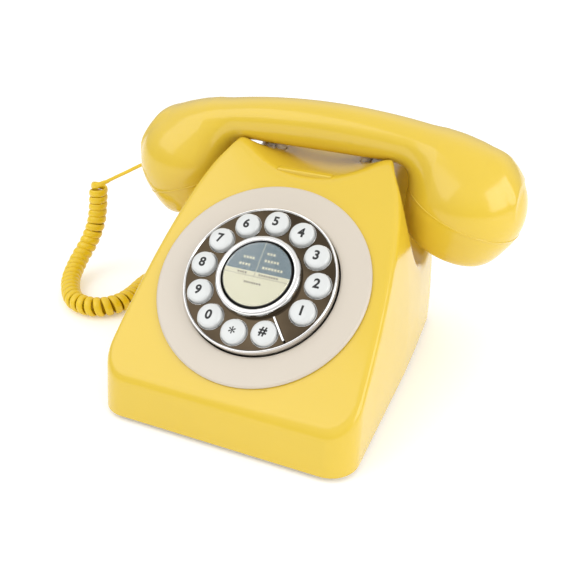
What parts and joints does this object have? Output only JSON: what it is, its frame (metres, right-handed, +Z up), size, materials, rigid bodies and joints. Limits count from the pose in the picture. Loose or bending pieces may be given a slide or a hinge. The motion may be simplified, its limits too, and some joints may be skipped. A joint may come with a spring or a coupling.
{
  "type": "push-button desk telephone",
  "caption": "Wedge-shaped desk telephone with a handset across its cradle, round keys set in a ring on the sloping face and a coiled handset cord.",
  "frame": {"origin": "on the table, under the middle of the telephone's bounding box without the cord", "axes": "+X towards the earpiece, on the right as the keys face the user; -Y towards the user; +Z up"},
  "size_m": [0.2909, 0.206, 0.1387],
  "materials": {
    "shell": "glossy warm yellow",
    "cord": "deep yellow flexible jacket",
    "cream": "satin cream",
    "key": "glossy white",
    "chrome": "mirror bright",
    "label": "printed card",
    "lens": "clear plastic",
    "dark": "moulded black",
    "plunger": "cream",
    "base": "textured dark",
    "rubber": "matte",
    "steel": "plated",
    "brass": "spun",
    "copper": "enamelled winding",
    "board": "solder resist"
  },
  "bodies": {
    "base": {"base_plate": "base", "base_screw_1": "steel", "base_screw_2": "steel", "base_screw_3": "steel", "base_screw_4": "steel", "case_shell": "shell", "centre_ring": "chrome", "cord_coil": "cord", "cord_lead_base": "cord", "cord_lead_handset": "cord", "cord_plug": "lens", "cord_socket": "dark", "dial_housing": "dark", "dial_plate": "chrome", "dial_ring": "cream", "finger_stop": "chrome", "foot_1": "rubber", "foot_2": "rubber", "foot_3": "rubber", "foot_4": "rubber", "gong_left": "brass", "gong_right": "brass", "hook_bracket": "steel", "hook_pin": "steel", "hook_switch": "dark", "key_board": "board", "key_mat": "rubber", "line_socket": "dark", "main_board": "board", "recall_blank": "shell", "ringer_bracket": "steel", "ringer_coil": "copper"},
    "handset": {"handset_body": "shell", "ear_cap": "shell", "mouth_cap": "shell", "handset_grommet": "shell", "handset_weight": "steel", "receiver_capsule": "steel", "transmitter_capsule": "steel"},
    "key_1_body": {"key_1": "key"},
    "key_2_body": {"key_2": "key"},
    "key_3_body": {"key_3": "key"},
    "key_4_body": {"key_4": "key"},
    "key_5_body": {"key_5": "key"},
    "key_6_body": {"key_6": "key"},
    "key_7_body": {"key_7": "key"},
    "key_8_body": {"key_8": "key"},
    "key_9_body": {"key_9": "key"},
    "key_0_body": {"key_0": "key"},
    "key_star_body": {"key_star": "key"},
    "key_hash_body": {"key_hash": "key"},
    "centre": {"centre_button": "key", "centre_label": "label", "centre_lens": "lens"},
    "plunger_left": {"hook_plunger_left": "plunger"},
    "plunger_right": {"hook_plunger_right": "plunger"},
    "hook": {"hook_lever": "steel"},
    "clapper": {"ringer_clapper": "steel"},
    "volume": {"ringer_switch": "dark"}
  },
  "joints": [
    {"name": "handset_lift", "type": "slide", "parent": "base", "child": "handset", "axis": [0, 0, 1], "range_m": [0, 0.15]},
    {"name": "key_1_press", "type": "slide", "parent": "base", "child": "key_1_body", "axis": [0, 0.6115, -0.7912], "range_m": [0, 0.002], "stiffness_N_per_m": 200, "springref_m": -0.002},
    {"name": "key_2_press", "type": "slide", "parent": "base", "child": "key_2_body", "axis": [0, 0.6115, -0.7912], "range_m": [0, 0.002], "stiffness_N_per_m": 200, "springref_m": -0.002},
    {"name": "key_3_press", "type": "slide", "parent": "base", "child": "key_3_body", "axis": [0, 0.6115, -0.7912], "range_m": [0, 0.002], "stiffness_N_per_m": 200, "springref_m": -0.002},
    {"name": "key_4_press", "type": "slide", "parent": "base", "child": "key_4_body", "axis": [0, 0.6115, -0.7912], "range_m": [0, 0.002], "stiffness_N_per_m": 200, "springref_m": -0.002},
    {"name": "key_5_press", "type": "slide", "parent": "base", "child": "key_5_body", "axis": [0, 0.6115, -0.7912], "range_m": [0, 0.002], "stiffness_N_per_m": 200, "springref_m": -0.002},
    {"name": "key_6_press", "type": "slide", "parent": "base", "child": "key_6_body", "axis": [0, 0.6115, -0.7912], "range_m": [0, 0.002], "stiffness_N_per_m": 200, "springref_m": -0.002},
    {"name": "key_7_press", "type": "slide", "parent": "base", "child": "key_7_body", "axis": [0, 0.6115, -0.7912], "range_m": [0, 0.002], "stiffness_N_per_m": 200, "springref_m": -0.002},
    {"name": "key_8_press", "type": "slide", "parent": "base", "child": "key_8_body", "axis": [0, 0.6115, -0.7912], "range_m": [0, 0.002], "stiffness_N_per_m": 200, "springref_m": -0.002},
    {"name": "key_9_press", "type": "slide", "parent": "base", "child": "key_9_body", "axis": [0, 0.6115, -0.7912], "range_m": [0, 0.002], "stiffness_N_per_m": 200, "springref_m": -0.002},
    {"name": "key_0_press", "type": "slide", "parent": "base", "child": "key_0_body", "axis": [0, 0.6115, -0.7912], "range_m": [0, 0.002], "stiffness_N_per_m": 200, "springref_m": -0.002},
    {"name": "key_star_press", "type": "slide", "parent": "base", "child": "key_star_body", "axis": [0, 0.6115, -0.7912], "range_m": [0, 0.002], "stiffness_N_per_m": 200, "springref_m": -0.002},
    {"name": "key_hash_press", "type": "slide", "parent": "base", "child": "key_hash_body", "axis": [0, 0.6115, -0.7912], "range_m": [0, 0.002], "stiffness_N_per_m": 200, "springref_m": -0.002},
    {"name": "centre_press", "type": "slide", "parent": "base", "child": "centre", "axis": [0, 0.6115, -0.7912], "range_m": [0, 0.002], "stiffness_N_per_m": 300, "springref_m": -0.002},
    {"name": "plunger_left_rise", "type": "slide", "parent": "base", "child": "plunger_left", "axis": [0, 0, 1], "range_m": [0, 0.005]},
    {"name": "plunger_right_rise", "type": "slide", "parent": "base", "child": "plunger_right", "axis": [0, 0, 1], "range_m": [0, 0.005]},
    {"name": "hook_turn", "type": "hinge", "parent": "base", "child": "hook", "pos_m": [0, 0.0305, 0.08], "axis": [1, 0, 0], "range_deg": [0, 12.5]},
    {"name": "clapper_swing", "type": "hinge", "parent": "base", "child": "clapper", "pos_m": [0, 0.049, 0.022], "axis": [0, 0, 1], "range_deg": [-2, 2]},
    {"name": "volume_slide", "type": "slide", "parent": "base", "child": "volume", "axis": [1, 0, 0], "range_m": [-0.0015, 0.0015]}
  ],
  "couplings": [
    {"joint": "plunger_left_rise", "follows": "handset_lift", "ratio": 0.033332},
    {"joint": "plunger_right_rise", "follows": "handset_lift", "ratio": 0.033332},
    {"joint": "hook_turn", "follows": "handset_lift", "rad_per_m": 1.4}
  ]
}
